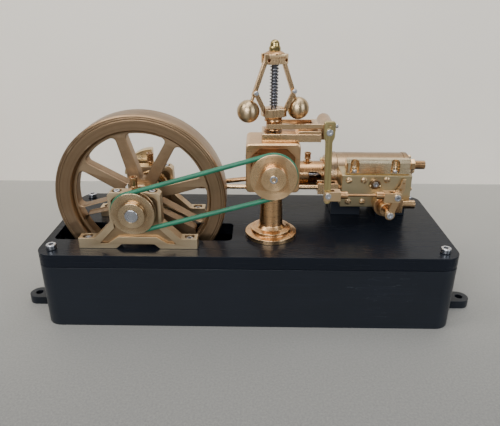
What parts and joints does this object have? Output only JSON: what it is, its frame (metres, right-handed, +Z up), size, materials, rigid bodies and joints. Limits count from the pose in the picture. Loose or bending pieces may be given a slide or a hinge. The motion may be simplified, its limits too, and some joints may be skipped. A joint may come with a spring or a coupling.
{
  "type": "model stationary steam engine",
  "caption": "Model horizontal mill engine: spoked flywheel, cylinder and steam chest, belt-driven flyball governor working the throttle, on a black base box.",
  "frame": {"origin": "bottom centre of the base, where it rests", "axes": "+X along the base towards the cylinder, -Y towards the belt side, +Z up"},
  "size_m": [0.267, 0.09, 0.1526],
  "materials": {
    "satin_brass": "satin, fine turned and brushed",
    "bronze": "polished turned bronze",
    "plain_brass": "unpolished rolled sheet",
    "black_anodised": "black anodised, satin",
    "steel": "bright turned",
    "spring_steel": "dark oiled",
    "belt": "smooth round polyurethane"
  },
  "bodies": {
    "root": {"base_box": "black_anodised", "top_plate": "black_anodised", "front_bearing": "satin_brass", "rear_bearing": "satin_brass", "front_oil_cup": "satin_brass", "rear_oil_cup": "satin_brass", "drive_belt": "belt", "crosshead_guide": "bronze", "guide_oil_cup": "bronze", "cylinder_barrel": "bronze", "cylinder_front_cover": "bronze", "cylinder_rear_cover": "bronze", "cylinder_pedestal": "black_anodised", "valve_chest": "bronze", "valve_chest_cover": "plain_brass", "exhaust_manifold": "bronze", "exhaust_pipe": "bronze", "throttle_valve": "bronze", "steam_inlet_pipe": "bronze", "governor_column": "bronze", "governor_gearbox": "bronze", "governor_bracket": "bronze"},
    "crank": {"crankshaft": "steel", "flywheel": "satin_brass", "drive_pulley": "satin_brass", "crank_web": "satin_brass", "eccentric_sheave": "satin_brass"},
    "eccentric_rod": {"eccentric_rod": "satin_brass"},
    "valve_rod": {"valve_rod": "bronze"},
    "crosshead": {"crosshead": "bronze", "piston_rod": "steel"},
    "connecting_rod": {"connecting_rod": "bronze"},
    "governor_pulley": {"governor_pulley": "bronze"},
    "governor_spindle": {"governor_spindle": "steel", "governor_cap": "bronze", "acorn_nut": "bronze", "governor_spring": "spring_steel"},
    "governor_sleeve": {"governor_sleeve": "bronze"},
    "ball_arm_left": {"ball_arm_left": "bronze"},
    "ball_arm_right": {"ball_arm_right": "bronze"},
    "link_left": {"link_left": "bronze"},
    "link_right": {"link_right": "bronze"},
    "governor_linkage": {"fork_lever": "bronze", "cross_shaft": "steel", "governor_lever": "plain_brass"},
    "push_rod": {"push_rod": "bronze"},
    "throttle_lever": {"throttle_lever": "bronze"}
  },
  "joints": [
    {"name": "crank_turn", "type": "hinge", "parent": "root", "child": "crank", "pos_m": [-0.06, 0, 0.068], "axis": [0, 1, 0], "continuous": true},
    {"name": "eccentric_turn", "type": "hinge", "parent": "crank", "child": "eccentric_rod", "pos_m": [-0.0575, 0, 0.068], "axis": [0, 1, 0], "continuous": true},
    {"name": "governor_pulley_turn", "type": "hinge", "parent": "root", "child": "governor_pulley", "pos_m": [0.013, -0.04, 0.0887], "axis": [0, 1, 0], "continuous": true},
    {"name": "governor_turn", "type": "hinge", "parent": "root", "child": "governor_spindle", "pos_m": [0.013, -0.0165, 0.1025], "axis": [0, 0, 1], "continuous": true},
    {"name": "valve_rod_slide", "type": "slide", "parent": "root", "child": "valve_rod", "axis": [1, 0, 0], "range_m": [-0.005, 0]},
    {"name": "crosshead_slide", "type": "slide", "parent": "root", "child": "crosshead", "axis": [1, 0, 0], "range_m": [-0.0211, 0.0049]},
    {"name": "connecting_rod_swing", "type": "hinge", "parent": "crosshead", "child": "connecting_rod", "pos_m": [0.03113, 0.024, 0.068], "axis": [0, 1, 0], "range_deg": [-2.33, 15.7]},
    {"name": "sleeve_lift", "type": "slide", "parent": "governor_spindle", "child": "governor_sleeve", "axis": [0, 0, 1], "range_m": [0, 0.0056], "deforming": ["governor_spring"]},
    {"name": "ball_arm_left_swing", "type": "hinge", "parent": "governor_spindle", "child": "ball_arm_left", "pos_m": [0.00865, -0.018, 0.143], "axis": [-0.3256, 0.9455, 0], "range_deg": [0, 15.47]},
    {"name": "ball_arm_right_swing", "type": "hinge", "parent": "governor_spindle", "child": "ball_arm_right", "pos_m": [0.01735, -0.015, 0.143], "axis": [0.3256, -0.9455, 0], "range_deg": [0, 15.47]},
    {"name": "link_left_swing", "type": "hinge", "parent": "ball_arm_left", "child": "link_left", "pos_m": [0.00307, -0.01992, 0.12695], "axis": [-0.3256, 0.9455, 0], "range_deg": [-42.29, 0]},
    {"name": "link_right_swing", "type": "hinge", "parent": "ball_arm_right", "child": "link_right", "pos_m": [0.02293, -0.01308, 0.12695], "axis": [0.3256, -0.9455, 0], "range_deg": [-42.29, 0]},
    {"name": "governor_linkage_turn", "type": "hinge", "parent": "root", "child": "governor_linkage", "pos_m": [0.042, -0.0165, 0.1078], "axis": [0, 1, 0], "range_deg": [0, 11.15]},
    {"name": "push_rod_slide", "type": "slide", "parent": "root", "child": "push_rod", "axis": [1, 0, 0], "range_m": [-0.00679, 0]},
    {"name": "throttle_turn", "type": "hinge", "parent": "root", "child": "throttle_lever", "pos_m": [0.0784, -0.0165, 0.0611], "axis": [0, 1, 0], "range_deg": [-34.71, 0]}
  ],
  "couplings": [
    {"joint": "eccentric_turn", "follows": "crank_turn", "ratio": -1},
    {"joint": "governor_pulley_turn", "follows": "crank_turn", "ratio": 0.95614},
    {"joint": "governor_turn", "follows": "crank_turn", "ratio": 0.95614},
    {"joint": "ball_arm_left_swing", "follows": "sleeve_lift", "rad_per_m": 48.169},
    {"joint": "ball_arm_right_swing", "follows": "sleeve_lift", "rad_per_m": 48.169},
    {"joint": "link_left_swing", "follows": "sleeve_lift", "rad_per_m": -131.66},
    {"joint": "link_right_swing", "follows": "sleeve_lift", "rad_per_m": -131.66},
    {"joint": "governor_linkage_turn", "follows": "sleeve_lift", "rad_per_m": 34.701},
    {"joint": "push_rod_slide", "follows": "sleeve_lift", "ratio": -1.2127},
    {"joint": "throttle_turn", "follows": "sleeve_lift", "rad_per_m": -108.03}
  ]
}
